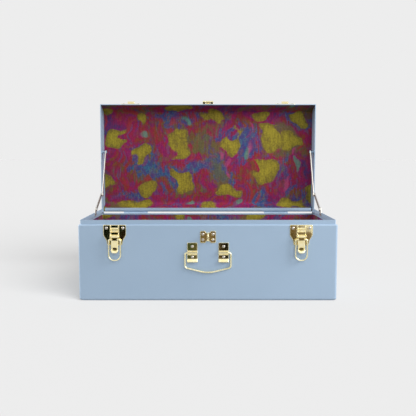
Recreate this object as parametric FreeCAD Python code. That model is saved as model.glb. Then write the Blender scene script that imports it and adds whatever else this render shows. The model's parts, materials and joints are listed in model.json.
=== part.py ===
"""Sheet-steel trunk with a hinged lid, brass toggle latches, a padlock hasp and a bail handle.

Millimetres. X runs along the trunk, Y from the front to the back, Z up. The origin is the
middle of the underside. The lid is drawn shut, then turned open about its hinge pin.
Front hardware is drawn round its own origin on a wall: X across, Z up, and -Y away from it.
"""
import FreeCAD, Part
import math
import os

# Body of the trunk
trunk_width = 600.0
trunk_depth = 300.0
shoulder_height = 178.0
neck_height = 10.8
neck_inset = 4.3
sheet = 1.0
corner_radius = 5.5
neck_corner_radius = 2.5
shoulder_radius = 2.4
neck_foot_radius = 1.2
foot_radius = 4.5
foot_flange = 14.0
bottom_thickness = 1.0
bottom_inset = 4.8
neck_return = 3.2
back_edge_drop = 3.0
back_hem = 0.8
back_hem_height = 3.0

# Lining of printed paper on card
lining_thickness = 1.0
lining_top_drop = 7.0

# Lid, measured from its rim
lid_height = 54.0
lid_skirt = 15.0
lid_slope_run = 15.8
skirt_bend_radius = 8.0
crown_bend_radius = 14.0
lid_hem_height = 5.0
lid_flange = 10.9
lid_flange_bend = 5.0
lid_flange_end_gap = 9.0
lid_lining_rise = 8.0

# Hinges
hinge_left_inset = 96.3
hinge_right_inset = 108.5
hinge_width = 67.0
hinge_barrel_radius = 2.5
hinge_pin_radius = 1.25
hinge_leaf_thickness = 1.2
hinge_leaf_height = 20.0
hinge_lid_leaf_height = 17.0
hinge_leaf_corner_radius = 2.0
hinge_pin_rise = 1.0
hinge_knuckles = 5
hinge_rivet_half_spacing = 22.0
hinge_rivet_from_pin = 12.0

# Rivets with a round head
rivet_head_radius = 3.4
rivet_head_height = 1.5
rivet_shank_radius = 1.5
small_rivet_share = 0.7

# Toggle latches
latch_inset = 84.7
latch_plate_thickness = 1.2
latch_half_width = 26.2
latch_waist_half_width = 19.4
latch_foot_half_width = 16.8
latch_tongue_half_width = 6.8
latch_plate_height = 47.0
latch_waist_rise = 11.5
latch_tongue_length = 14.0
latch_side_drop = 24.5
latch_ogee_radius = 9.0
latch_corner_radius = 2.5
latch_tongue_radius = 5.0
latch_rivet_half_spacing = 19.0
latch_rivet_drop = 7.4
latch_rib_drops = (9.2, 15.2)
latch_rib_radius = 1.6
ear_thickness = 1.2
ear_rail_top_drop = 2.0
ear_rail_standoff = 4.0
ear_lobe_radius = 4.6
latch_pivot_drop = 26.5
latch_pivot_standoff = 6.0
latch_pin_radius = 1.2
latch_pin_head_radius = 2.0
latch_pin_head_height = 0.7

# Lever of a latch
lever_half_width = 8.35
lever_sheet = 1.2
lever_cheek = 1.0
lever_barrel_radius = 3.0
lever_web_standoff = 1.5
lever_web_top_drop = 2.0
lever_knee_drop = 10.5
lever_curl_drop = 31.5
lever_length = 38.7
lever_kick = 3.6
lever_curl = 3.2
lever_bend_radius = 7.0
lever_end_radius = 7.0
lever_cheek_radius = 3.2
lever_hole_half_width = 5.5
lever_hole_half_height = 3.5
lever_hole_drop = 29.6
lever_hole_radius = 3.3

# Wire bail of a latch
bail_pivot_drop = 7.0
bail_wire_radius = 1.6
bail_half_width = 13.4
bail_length = 48.3
bail_shoulder_radius = 3.5
bail_flat_half_width = 1.4
bail_end_half_width = 6.0

# Keeper on the lid for a latch's bail
keeper_inset = 85.3
keeper_half_width = 27.5
keeper_height = 13.5
keeper_rise = 1.1
keeper_thickness = 1.2
keeper_corner_radius = 2.5
keeper_rivet_half_spacing = 20.0
keeper_rivet_rise = 8.2
keeper_hook_side_gap = 2.45
keeper_lip_rise = 18.0
keeper_lip_standoff = 7.1
keeper_lip_bend = 2.4

# Padlock hasp on the lid
hasp_half_width = 14.65
hasp_leaf_thickness = 1.2
hasp_leaf_rise = 1.0
hasp_leaf_height = 13.5
hasp_corner_radius = 2.0
hasp_axis_rise = 4.6
hasp_axis_standoff = 6.0
hasp_barrel_radius = 3.3
hasp_pin_radius = 1.4
hasp_knuckle_half_width = 7.0
hasp_sheet = 1.6
hasp_tip_half_width = 11.5
hasp_tip_length = 47.0
hasp_shoulder_length = 14.0
hasp_shoulder_radius = 4.0
hasp_tip_radius = 8.0
hasp_slot_half_width = 2.8
hasp_slot_half_height = 11.0
hasp_slot_radius = 2.7
hasp_rivet_half_spacing = 9.5
hasp_rivet_rise = 11.2
hasp_rivet_share = 0.85

# Staple on the base for the hasp
staple_drop = 28.1
staple_plate_thickness = 1.2
staple_half_width = 18.1
staple_half_height = 13.85
staple_leaf_width = 13.0
staple_neck_half_height = 9.8
staple_corner_radius = 3.2
staple_rivet_half_spacing = 11.6
staple_rivet_half_rise = 6.4
staple_loop_half_thickness = 1.5
staple_loop_half_height = 9.2
staple_loop_reach = 15.0
staple_loop_radius = 6.5
staple_eye_radius = 3.2
staple_eye_standoff = 9.6

# Carry handle
handle_axis_drop = 64.7
handle_bracket_spacing = 72.4
bracket_half_width = 11.7
bracket_rise = 23.2
bracket_drop = 14.5
bracket_sheet = 1.5
bracket_corner_radius = 1.6
bracket_lip_drop = 22.5
bracket_lip_standoff = 4.0
bracket_lip_bend = 2.0
bracket_hump_radius = 3.8
bracket_hump_fillet = 1.6
bracket_rivet_rise = 14.4
bracket_rivet_drop = 10.2
handle_wire_radius = 2.0
handle_half_width = 53.0
handle_leg = 34.9
handle_drop = 48.0
handle_elbow_radius = 5.0
handle_foot_radius = 6.0
handle_sweep_radius = 70.0
handle_end_half_width = 26.0

# Folding stays at both ends
stay_sheet = 1.8
stay_half_width = 5.5
stay_bracket_sheet = 1.5
stay_bracket_half_width = 9.5
stay_bracket_tip_half_width = 4.5
stay_bracket_foot_drop = 8.8
stay_bracket_tip_rise = 6.0
stay_bracket_radius = 2.5
stay_pivot_rise = 7.5
stay_pivot_inset = 117.0
stay_lid_reach = 170.5
stay_lid_depth = 15.0
stay_elbow_along_share = 0.547
stay_elbow_up_share = 0.224
stay_pin_radius = 2.0
stay_head_radius = 4.2
stay_head_height = 1.2
stay_stud_radius = 3.2
stay_stud_foot_radius = 5.2
stay_stud_foot_height = 1.6
stay_rivet_half_spacing = 5.0
stay_rivet_drop = 4.4

# Clearances, and one overrun for cuts
seat_gap = 0.3
running_gap = 0.3
bail_seat_gap = 0.15
pin_clearance = 0.05
handle_wall_gap = 0.2
lid_rest_gap = 0.5
overrun = 5.0

# Places worked out from the sizes above
half_width = trunk_width / 2
half_depth = trunk_depth / 2
neck_top = shoulder_height + neck_height
back_edge_height = shoulder_height - back_edge_drop
lining_top_height = shoulder_height - lining_top_drop
hinge_left_x = hinge_left_inset - half_width
hinge_right_x = half_width - hinge_right_inset
latch_x = half_width - latch_inset
keeper_x = half_width - keeper_inset
staple_height = shoulder_height - staple_drop
handle_axis_height = shoulder_height - handle_axis_drop
stay_pivot_y = half_depth - stay_pivot_inset
lid_rim = shoulder_height + lid_rest_gap
hinge_pin_y = half_depth + running_gap + hinge_barrel_radius
hinge_pin_z = back_edge_height + hinge_pin_rise
latch_pivot_z = shoulder_height - latch_pivot_drop
bail_pivot_z = latch_pivot_z - bail_pivot_drop
bail_foot_radius = bail_half_width - bail_flat_half_width
bail_inner_radius = bail_foot_radius - bail_wire_radius - running_gap
keeper_hook_half_width = bail_half_width - bail_wire_radius - keeper_hook_side_gap
keeper_arm_top = (bail_pivot_z + bail_length - bail_foot_radius - bail_seat_gap
                  + math.sqrt(bail_inner_radius ** 2 - (keeper_hook_half_width - bail_flat_half_width) ** 2))
hasp_axis_z = lid_rim + hasp_axis_rise
hasp_slot_from_axis = hasp_axis_z - staple_height
handle_standoff = handle_wire_radius + handle_wall_gap
handle_bracket_x = handle_bracket_spacing / 2
neck_inner_x = half_width - neck_inset - sheet
lower_link_outer = neck_inner_x - stay_bracket_sheet - running_gap
lower_link_inner = lower_link_outer - stay_sheet
upper_link_outer = lower_link_inner - stay_head_height - 2 * running_gap
upper_link_inner = upper_link_outer - stay_sheet
stay_base_pivot_at = (stay_pivot_y, neck_top + stay_pivot_rise)
stay_lid_pivot_at = (hinge_pin_y - stay_lid_reach, lid_rim + stay_lid_depth)
lid_pivot_open_at = (hinge_pin_y + stay_lid_pivot_at[1] - hinge_pin_z, hinge_pin_z + stay_lid_reach)
stay_elbow_at = (stay_base_pivot_at[0] + stay_elbow_along_share * (lid_pivot_open_at[0] - stay_base_pivot_at[0]),
                 stay_base_pivot_at[1] + stay_elbow_up_share * (lid_pivot_open_at[1] - stay_base_pivot_at[1]))

vector = FreeCAD.Vector
along_x = vector(1, 0, 0)
along_y = vector(0, 1, 0)
along_z = vector(0, 0, 1)
parts = {}


def block(x_low, x_high, y_low, y_high, z_low, z_high):
    corner = vector(x_low, y_low, z_low)
    return Part.makeBox(x_high - x_low, y_high - y_low, z_high - z_low, corner)


def rod(radius, start, end):
    """Round bar between two points."""
    span = end.sub(start)
    return Part.makeCylinder(radius, span.Length, start, span)


def rounded_outline(points, radii):
    """Lines and arcs of an open path: each inner point is rounded by its radius.

    Returns a list of (start, end, centre, turn); centre is None on a straight stretch.
    """
    pieces = []
    cursor = points[0]
    for before, here, after, radius in zip(points, points[1:], points[2:], radii):
        into = here.sub(before).normalize()
        out = after.sub(here).normalize()
        turn = math.atan2(into.x * out.y - into.y * out.x, into.dot(out))
        if radius == 0:
            pieces.append((cursor, here, None, 0))
            cursor = here
            continue
        trim = radius * math.tan(abs(turn) / 2)
        arc_start = here.sub(into * trim)
        arc_end = here.add(out * trim)
        side = math.copysign(1, turn)
        centre = arc_start.add(vector(-into.y, into.x, 0) * (radius * side))
        pieces.append((cursor, arc_start, None, 0))
        pieces.append((arc_start, arc_end, centre, turn))
        cursor = arc_end
    pieces.append((cursor, points[-1], None, 0))
    return pieces


def shifted(pieces, offset):
    """The same path moved to its right-hand side by an offset."""
    moved = []
    for start, end, centre, turn in pieces:
        if centre is None:
            along = end.sub(start).normalize()
            aside = vector(along.y, -along.x, 0) * offset
            moved.append((start.add(aside), end.add(aside), None, 0))
        else:
            radius = start.sub(centre).Length
            scale = (radius + offset * math.copysign(1, turn)) / radius
            moved.append((centre.add(start.sub(centre) * scale),
                          centre.add(end.sub(centre) * scale), centre, turn))
    return moved


def path_edges(pieces, backwards=False):
    edges = []
    for start, end, centre, turn in pieces:
        if start.sub(end).Length < 1e-7:
            continue
        if centre is None:
            edges.append(Part.makeLine(start, end))
            continue
        spoke = start.sub(centre)
        half = turn / 2
        middle = centre.add(vector(spoke.x * math.cos(half) - spoke.y * math.sin(half),
                                   spoke.x * math.sin(half) + spoke.y * math.cos(half), 0))
        edges.append(Part.Arc(start, middle, end).toShape())
    return edges


def strip_face(points, radii, near, far):
    """Cross-section of a bent sheet between two offsets to the right of a path."""
    pieces = rounded_outline([vector(a, b, 0) for a, b in points], radii)
    first = shifted(pieces, near)
    second = shifted(pieces, far)
    edges = path_edges(first) + path_edges(second)
    edges.append(Part.makeLine(first[0][0], second[0][0]))
    edges.append(Part.makeLine(first[-1][1], second[-1][1]))
    return Part.Face(Part.Wire(Part.__sortEdges__(edges)))


def closed_face(points, radii):
    """Closed outline; a radius belongs to each point after the first."""
    pieces = rounded_outline([vector(a, b, 0) for a, b in list(points) + [points[0]]], radii)
    return Part.Face(Part.Wire(Part.__sortEdges__(path_edges(pieces))))


def rounded_rectangle(half_a, half_b, radius, low_b=None):
    """Rectangle about the origin, or standing from low_b up to half_b."""
    bottom = -half_b if low_b is None else low_b
    points = [(0, bottom), (half_a, bottom), (half_a, half_b), (-half_a, half_b), (-half_a, bottom)]
    return closed_face(points, [radius] * 4)


def seen_from_side(face, x_low, x_high):
    """Extrude a face drawn in (Y, Z) along X."""
    turned = face.copy()
    turned.rotate(vector(0, 0, 0), vector(1, 1, 1), 120)
    turned.translate(vector(x_low, 0, 0))
    return turned.extrude(vector(x_high - x_low, 0, 0))


def seen_from_front(face, standoff_low, standoff_high):
    """Extrude a face drawn in (X, Z) along -Y, between two standoffs from the wall."""
    turned = face.copy()
    turned.rotate(vector(0, 0, 0), along_x, 90)
    turned.translate(vector(0, -standoff_low, 0))
    return turned.extrude(vector(0, standoff_low - standoff_high, 0))


def seen_from_above(face, z_low, z_high):
    raised = face.copy()
    raised.translate(vector(0, 0, z_low))
    return raised.extrude(vector(0, 0, z_high - z_low))


def fuse(*shapes):
    whole = shapes[0]
    for shape in shapes[1:]:
        whole = whole.fuse(shape)
    return whole.removeSplitter()


def cut(shape, *tools):
    for tool in tools:
        shape = shape.cut(tool)
    return shape


def compound(shapes):
    return Part.makeCompound(list(shapes))


def on_front(shape, x):
    """Put a fitting drawn on the plane Y = 0 on the front wall, which the lid's skirt continues."""
    copy = shape.copy()
    copy.translate(vector(x, -half_depth, 0))
    return copy


def mirrored(shape):
    """The same piece on the other side of the trunk's middle."""
    return shape.mirror(vector(0, 0, 0), along_x)


def opened(shape):
    """Turn a piece of the shut lid to the open pose."""
    copy = shape.copy()
    copy.rotate(vector(0, hinge_pin_y, hinge_pin_z), along_x, -90)
    return copy


def level_edges(shape, height, reach_x, reach_y, beyond):
    """Edges lying at one height, either inside a rectangle about the origin or beyond it."""
    picked = []
    for edge in shape.Edges:
        middle = edge.valueAt((edge.FirstParameter + edge.LastParameter) / 2)
        heights = [vertex.Z for vertex in edge.Vertexes] + [middle.z]
        if max(abs(z - height) for z in heights) > 1e-5:
            continue
        outside = abs(middle.x) > reach_x or abs(middle.y) > reach_y
        if outside == beyond:
            picked.append(edge)
    return picked


def rivet(grip, share=1.0):
    """Round-headed rivet along +Z: its head stands on z = 0 and its shank fills the grip."""
    head = rivet_head_radius * share
    rise = rivet_head_height * share
    shank = rivet_shank_radius * share
    ball = (head * head + rise * rise) / (2 * rise)
    bulge = math.asin(head / ball) / 2
    half_way = vector(ball * math.sin(bulge), 0, rise - ball + ball * math.cos(bulge))
    dome = Part.Arc(vector(head, 0, 0), half_way, vector(0, 0, rise)).toShape()
    outline = [dome,
               Part.makeLine(vector(0, 0, rise), vector(0, 0, -grip)),
               Part.makeLine(vector(0, 0, -grip), vector(shank, 0, -grip)),
               Part.makeLine(vector(shank, 0, -grip), vector(shank, 0, 0)),
               Part.makeLine(vector(shank, 0, 0), vector(head, 0, 0))]
    face = Part.Face(Part.Wire(Part.__sortEdges__(outline)))
    return face.revolve(vector(0, 0, 0), along_z, 360)


def rivet_at(place, outward, grip, share=1.0):
    """A rivet whose head rests at a place and points outward."""
    piece = rivet(grip, share)
    turn = FreeCAD.Rotation(along_z, outward)
    piece.Placement = FreeCAD.Placement(place, turn)
    return piece


def rivet_hole(place, outward, share=1.0):
    """Hole for a rivet, running well past the sheet on both sides."""
    radius = rivet_shank_radius * share + pin_clearance
    return rod(radius, place.sub(outward * overrun), place.add(outward * overrun))


def bent_wire(points, radii, radius):
    """Round wire along a rounded path drawn in (X, Z)."""
    pieces = rounded_outline([vector(a, b, 0) for a, b in points], radii)
    edges = path_edges(pieces)
    spine = Part.Wire(edges)
    spine.rotate(vector(0, 0, 0), along_x, 90)
    start = spine.Edges[0].valueAt(spine.Edges[0].FirstParameter)
    heading = spine.Edges[0].tangentAt(spine.Edges[0].FirstParameter)
    ring = Part.Wire(Part.makeCircle(radius, start, heading))
    return spine.makePipeShell([ring], True, False)


def flat_link(start, end, half, x_low, x_high):
    """Flat bar with round ends between two pivots given in (Y, Z)."""
    span = math.dist(start, end)
    face = rounded_rectangle(span / 2 + half, half, half - pin_clearance)
    face.rotate(vector(0, 0, 0), along_z, math.degrees(math.atan2(end[1] - start[1], end[0] - start[0])))
    face.translate(vector((start[0] + end[0]) / 2, (start[1] + end[1]) / 2, 0))
    return seen_from_side(face, min(x_low, x_high), max(x_low, x_high))


def cross_rod(radius, place, x_start, x_end):
    """Round bar along X through a place given in (Y, Z)."""
    return rod(radius, vector(x_start, place[0], place[1]), vector(x_end, place[0], place[1]))


# Base: folded shell with a stepped neck, its bottom sheet and its linings

def stepped_solid(inset, top):
    """Outside of the body for an inset of 0, or its cavity for an inset of one sheet."""
    low = bottom_thickness + inset
    shoulder = shoulder_height - inset
    neck_half_x = half_width - neck_inset - inset
    neck_half_y = half_depth - neck_inset - inset
    body = seen_from_above(rounded_rectangle(half_width - inset, half_depth - inset, corner_radius - inset),
                           low, shoulder)
    body = body.makeFillet(foot_radius - inset, level_edges(body, low, 0, 0, True))
    neck = seen_from_above(rounded_rectangle(neck_half_x, neck_half_y, neck_corner_radius - inset),
                           shoulder / 2, top)
    whole = fuse(body, neck)
    margin = (neck_inset - shoulder_radius) / 2
    inner = level_edges(whole, shoulder, neck_half_x + margin, neck_half_y + margin, False)
    whole = whole.makeFillet(neck_foot_radius + inset, inner)
    outer = level_edges(whole, shoulder, half_width - inset - margin, half_depth - inset - margin, True)
    return whole.makeFillet(shoulder_radius - inset, outer)


def base_shell():
    floor_hole = seen_from_above(rounded_rectangle(half_width - foot_flange, half_depth - foot_flange,
                                                   corner_radius),
                                 0, bottom_thickness + 2 * sheet)
    shell = cut(stepped_solid(0, neck_top), stepped_solid(sheet, neck_top + overrun), floor_hole)
    gap_half = half_width - neck_inset - neck_return
    shell = shell.cut(block(-gap_half, gap_half, half_depth - neck_inset - 2 * sheet, half_depth + overrun,
                            back_edge_height, neck_top + overrun))
    hem = block(-gap_half, gap_half, half_depth - sheet - back_hem, half_depth - sheet,
                back_edge_height - back_hem_height, back_edge_height)
    return fuse(shell, hem)


def bottom_panel():
    face = rounded_rectangle(half_width - bottom_inset, half_depth - bottom_inset, corner_radius)
    return seen_from_above(face, 0, bottom_thickness)


def lining_outline(inset):
    return rounded_rectangle(half_width - inset, half_depth - inset, corner_radius - sheet)


def wall_lining():
    outer = sheet + seat_gap
    ring = lining_outline(outer).cut(lining_outline(outer + lining_thickness))
    return seen_from_above(ring, bottom_thickness + foot_radius, lining_top_height)


def floor_lining():
    low = bottom_thickness + sheet
    return seen_from_above(lining_outline(foot_radius + seat_gap), low, low + lining_thickness)


# Lid: bent shell, two end panels and a lining, all drawn shut

def lid_path():
    """Outside of the lid from its front rim over the crown to its back rim."""
    crown = lid_rim + lid_height
    knee = lid_rim + lid_skirt
    crown_half = half_depth - lid_slope_run
    return ([(-half_depth, lid_rim), (-half_depth, knee), (-crown_half, crown), (crown_half, crown),
             (half_depth, knee), (half_depth, lid_rim)],
            [skirt_bend_radius, crown_bend_radius, crown_bend_radius, skirt_bend_radius])


def lid_shell():
    points, radii = lid_path()
    end = half_width - sheet
    flange_end = half_width - lid_flange_end_gap
    bare = seen_from_side(strip_face(points, radii, 0, sheet), -end, end)
    flange_points = points[3:] + [(half_depth - lid_flange, lid_rim)]
    flange = seen_from_side(strip_face(flange_points, radii[3:] + [lid_flange_bend], 0, sheet),
                            -flange_end, flange_end)
    corner = block(-flange_end, flange_end, half_depth - lid_flange_bend, half_depth + overrun,
                   lid_rim - overrun, lid_rim + lid_flange_bend)
    hem = block(-end, end, -half_depth + sheet, -half_depth + 2 * sheet, lid_rim, lid_rim + lid_hem_height)
    return fuse(bare.cut(corner), flange, hem)


def lid_end(side):
    points, radii = lid_path()
    face = closed_face([(0, lid_rim)] + points, [0] + radii + [0])
    low, high = sorted((side * half_width, side * (half_width - sheet)))
    panel = seen_from_side(face, low, high)
    hem_low, hem_high = sorted((side * (half_width - sheet), side * (half_width - 2 * sheet)))
    hem_half = half_depth - 2 * sheet - seat_gap
    hem = block(hem_low, hem_high, -hem_half, hem_half, lid_rim, lid_rim + lid_hem_height)
    hole = cross_rod(stay_pin_radius + pin_clearance, stay_lid_pivot_at,
                     side * (half_width + overrun), side * (half_width - overrun))
    return fuse(panel, hem).cut(hole)


def lid_lining():
    points, radii = lid_path()
    rise = lid_rim + lid_lining_rise
    points = [(-half_depth, rise)] + points[1:-1] + [(half_depth, rise)]
    near = sheet + seat_gap
    face = strip_face(points, radii, near, near + lining_thickness)
    end = half_width - sheet - seat_gap
    return seen_from_side(face, -end, end)


# Hinges: knuckles of both leaves take turns on one pin

def hinge_leaf(x, first, upward, leaf_height):
    """Leaf on the back wall whose knuckles start at one index and skip every second place."""
    knuckle = (hinge_width - (hinge_knuckles - 1) * running_gap) / hinge_knuckles
    left = x - hinge_width / 2
    back = half_depth + hinge_leaf_thickness
    near = upward * (hinge_barrel_radius + running_gap)
    far = upward * leaf_height
    outline = closed_face([(x, hinge_pin_z + near),
                           (left + hinge_width, hinge_pin_z + near), (left + hinge_width, hinge_pin_z + far),
                           (left, hinge_pin_z + far), (left, hinge_pin_z + near)],
                          [0, hinge_leaf_corner_radius, hinge_leaf_corner_radius, 0])
    leaf = seen_from_front(outline, -half_depth - hinge_leaf_thickness, -half_depth)
    for index in range(first, hinge_knuckles, 2):
        low_x = left + index * (knuckle + running_gap)
        low_z, high_z = sorted((hinge_pin_z, hinge_pin_z + near))
        tab = block(low_x, low_x + knuckle, half_depth, back, low_z, high_z)
        barrel = cross_rod(hinge_barrel_radius, (hinge_pin_y, hinge_pin_z), low_x, low_x + knuckle)
        leaf = leaf.fuse(tab).fuse(barrel)
    bore = cross_rod(hinge_pin_radius + pin_clearance, (hinge_pin_y, hinge_pin_z),
                     left - overrun, left + hinge_width + overrun)
    return leaf.removeSplitter().cut(bore)


def hinge_pin(x):
    return cross_rod(hinge_pin_radius, (hinge_pin_y, hinge_pin_z), x - hinge_width / 2, x + hinge_width / 2)


def hinge_rivet_places(upward):
    back = half_depth + hinge_leaf_thickness
    height = hinge_pin_z + upward * hinge_rivet_from_pin
    offsets = (-hinge_rivet_half_spacing, 0, hinge_rivet_half_spacing)
    return [vector(x + offset, back, height) for x in (hinge_left_x, hinge_right_x) for offset in offsets]


# Toggle latches: plate with ears, lever and wire bail

def latch_plate():
    top = shoulder_height
    low = top - latch_plate_height
    tip = low - latch_tongue_length
    waist_height = low + latch_waist_rise
    side = top - latch_side_drop
    tongue = latch_tongue_half_width
    foot = latch_foot_half_width
    waist = latch_waist_half_width
    half = latch_half_width
    outline = closed_face([(0, tip), (tongue, tip), (tongue, low), (foot, low), (waist, waist_height),
                           (half, side), (half, top), (-half, top), (-half, side), (-waist, waist_height),
                           (-foot, low), (-tongue, low), (-tongue, tip)],
                          [latch_tongue_radius, latch_corner_radius, latch_corner_radius, latch_ogee_radius,
                           latch_ogee_radius, latch_corner_radius, latch_corner_radius, latch_ogee_radius,
                           latch_ogee_radius, latch_corner_radius, latch_corner_radius, latch_tongue_radius])
    plate = seen_from_front(outline, 0, latch_plate_thickness)
    inner = lever_half_width + running_gap
    outer = inner + ear_thickness
    for low_x in (-outer, inner):
        high_x = low_x + ear_thickness
        rail = block(low_x, high_x, -ear_rail_standoff, 0, latch_pivot_z, top - ear_rail_top_drop)
        root = block(low_x, high_x, -latch_pivot_standoff, 0,
                     latch_pivot_z - ear_lobe_radius, latch_pivot_z + ear_lobe_radius)
        lobe = cross_rod(ear_lobe_radius, (-latch_pivot_standoff, latch_pivot_z), low_x, high_x)
        plate = plate.fuse(rail).fuse(root).fuse(lobe)
    for drop in latch_rib_drops:
        rib = cross_rod(latch_rib_radius, (-latch_plate_thickness, top - drop), -inner, inner)
        plate = plate.fuse(rib)
    behind = block(-latch_half_width, latch_half_width, 0, overrun, tip, top)
    bore = cross_rod(latch_pin_radius + pin_clearance, (-latch_pivot_standoff, latch_pivot_z),
                     -latch_half_width, latch_half_width)
    return cut(plate.removeSplitter(), behind, bore)


def latch_pin():
    place = (-latch_pivot_standoff, latch_pivot_z)
    reach = lever_half_width + running_gap + ear_thickness
    pin = cross_rod(latch_pin_radius, place, -reach, reach)
    left = cross_rod(latch_pin_head_radius, place, -reach - latch_pin_head_height, -reach)
    right = cross_rod(latch_pin_head_radius, place, reach, reach + latch_pin_head_height)
    return fuse(pin, left, right)


def latch_lever():
    pivot = (-latch_pivot_standoff, latch_pivot_z)
    bail_pivot = (-latch_pivot_standoff, bail_pivot_z)
    tip = latch_pivot_z - lever_length
    kicked = -lever_web_standoff - lever_kick
    web_face = strip_face([(-lever_web_standoff, latch_pivot_z - lever_web_top_drop),
                           (-lever_web_standoff, latch_pivot_z - lever_knee_drop),
                           (kicked, latch_pivot_z - lever_curl_drop), (kicked - lever_curl, tip)],
                          [lever_bend_radius, lever_bend_radius], 0, lever_sheet)
    web = seen_from_side(web_face, -lever_half_width, lever_half_width)
    outline = rounded_rectangle(lever_half_width, latch_pivot_z, lever_end_radius, tip)
    web = web.common(seen_from_front(outline, 0, latch_pivot_standoff + lever_length))
    hole = rounded_rectangle(lever_hole_half_width, lever_hole_half_height, lever_hole_radius)
    hole.translate(vector(0, latch_pivot_z - lever_hole_drop, 0))
    web = web.cut(seen_from_front(hole, 0, latch_pivot_standoff + lever_length))
    barrel = cross_rod(lever_barrel_radius, pivot, -lever_half_width, lever_half_width)
    lever = web.fuse(barrel)
    for low_x in (-lever_half_width, lever_half_width - lever_cheek):
        high_x = low_x + lever_cheek
        arm = flat_link(bail_pivot, pivot, lever_cheek_radius, low_x, high_x)
        root = block(low_x, high_x, -latch_pivot_standoff, -lever_web_standoff,
                     bail_pivot_z - lever_cheek_radius, latch_pivot_z)
        lever = lever.fuse(arm).fuse(root)
    pin_bore = cross_rod(latch_pin_radius + pin_clearance, pivot, -latch_half_width, latch_half_width)
    wire_bore = cross_rod(bail_wire_radius + pin_clearance, bail_pivot, -latch_half_width, latch_half_width)
    return cut(lever.removeSplitter(), pin_bore, wire_bore)


def latch_bail():
    wire = bent_wire([(-bail_end_half_width, 0), (-bail_half_width, 0), (-bail_half_width, -bail_length),
                      (bail_half_width, -bail_length), (bail_half_width, 0), (bail_end_half_width, 0)],
                     [bail_shoulder_radius, bail_foot_radius, bail_foot_radius, bail_shoulder_radius],
                     bail_wire_radius)
    wire.translate(vector(0, -latch_pivot_standoff, bail_pivot_z))
    return wire


def latch_rivet_places():
    height = shoulder_height - latch_rivet_drop
    offsets = (-latch_rivet_half_spacing, latch_rivet_half_spacing)
    return [vector(x + offset, -half_depth - latch_plate_thickness, height)
            for x in (-latch_x, latch_x) for offset in offsets]


# Keepers on the lid's skirt

def keeper():
    low = lid_rim + keeper_rise
    outline = rounded_rectangle(keeper_half_width, low + keeper_height, keeper_corner_radius, low)
    plate = seen_from_front(outline, 0, keeper_thickness)
    outside = -keeper_lip_standoff - keeper_thickness
    arm = keeper_arm_top - keeper_thickness
    hook = strip_face([(-keeper_thickness / 2, arm), (outside, arm), (outside, lid_rim + keeper_lip_rise)],
                      [keeper_lip_bend], 0, keeper_thickness)
    return fuse(plate, seen_from_side(hook, -keeper_hook_half_width, keeper_hook_half_width))


def keeper_rivet_places():
    height = lid_rim + keeper_rivet_rise
    offsets = (-keeper_rivet_half_spacing, keeper_rivet_half_spacing)
    return [vector(x + offset, -half_depth - keeper_thickness, height)
            for x in (-keeper_x, keeper_x) for offset in offsets]


# Padlock hasp and its staple

def hasp_leaf():
    low = lid_rim + hasp_leaf_rise
    outline = rounded_rectangle(hasp_half_width, low + hasp_leaf_height, hasp_corner_radius, low)
    leaf = seen_from_front(outline, 0, hasp_leaf_thickness)
    place = (-hasp_axis_standoff, hasp_axis_z)
    inner = hasp_knuckle_half_width + running_gap
    for low_x, high_x in ((-hasp_half_width, -inner), (inner, hasp_half_width)):
        post = block(low_x, high_x, -hasp_axis_standoff, 0,
                     hasp_axis_z - hasp_barrel_radius, hasp_axis_z + hasp_barrel_radius)
        leaf = leaf.fuse(post).fuse(cross_rod(hasp_barrel_radius, place, low_x, high_x))
    bore = cross_rod(hasp_pin_radius + pin_clearance, place, -trunk_width, trunk_width)
    return leaf.removeSplitter().cut(bore)


def hasp_pin():
    return cross_rod(hasp_pin_radius, (-hasp_axis_standoff, hasp_axis_z), -hasp_half_width, hasp_half_width)


def hasp_strap():
    """Slotted strap folded back from its knuckle, away from the staple."""
    neck = hasp_knuckle_half_width
    half = hasp_half_width
    tip = hasp_tip_half_width
    start = hasp_barrel_radius + 2 * running_gap
    outline = closed_face([(0, 0), (neck, 0), (neck, start), (half, start), (half, hasp_shoulder_length),
                           (tip, hasp_tip_length - hasp_tip_radius), (tip, hasp_tip_length),
                           (-tip, hasp_tip_length), (-tip, hasp_tip_length - hasp_tip_radius),
                           (-half, hasp_shoulder_length), (-half, start), (-neck, start), (-neck, 0)],
                          [0, 0, hasp_corner_radius, hasp_shoulder_radius, 0, hasp_tip_radius / 2,
                           hasp_tip_radius / 2, 0, hasp_shoulder_radius, hasp_corner_radius, 0, 0])
    slot = rounded_rectangle(hasp_slot_half_width, hasp_slot_half_height, hasp_slot_radius)
    slot.translate(vector(0, hasp_slot_from_axis, 0))
    face = outline.cut(slot)
    face.translate(vector(0, hasp_axis_z, 0))
    strap = seen_from_front(face, hasp_axis_standoff - hasp_sheet / 2, hasp_axis_standoff + hasp_sheet / 2)
    place = (-hasp_axis_standoff, hasp_axis_z)
    knuckle = cross_rod(hasp_barrel_radius, place, -neck, neck)
    bore = cross_rod(hasp_pin_radius + pin_clearance, place, -half, half)
    return fuse(strap, knuckle).cut(bore)


def hasp_rivet_places():
    height = lid_rim + hasp_rivet_rise
    return [vector(offset, -half_depth - hasp_leaf_thickness, height)
            for offset in (-hasp_rivet_half_spacing, hasp_rivet_half_spacing)]


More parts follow.
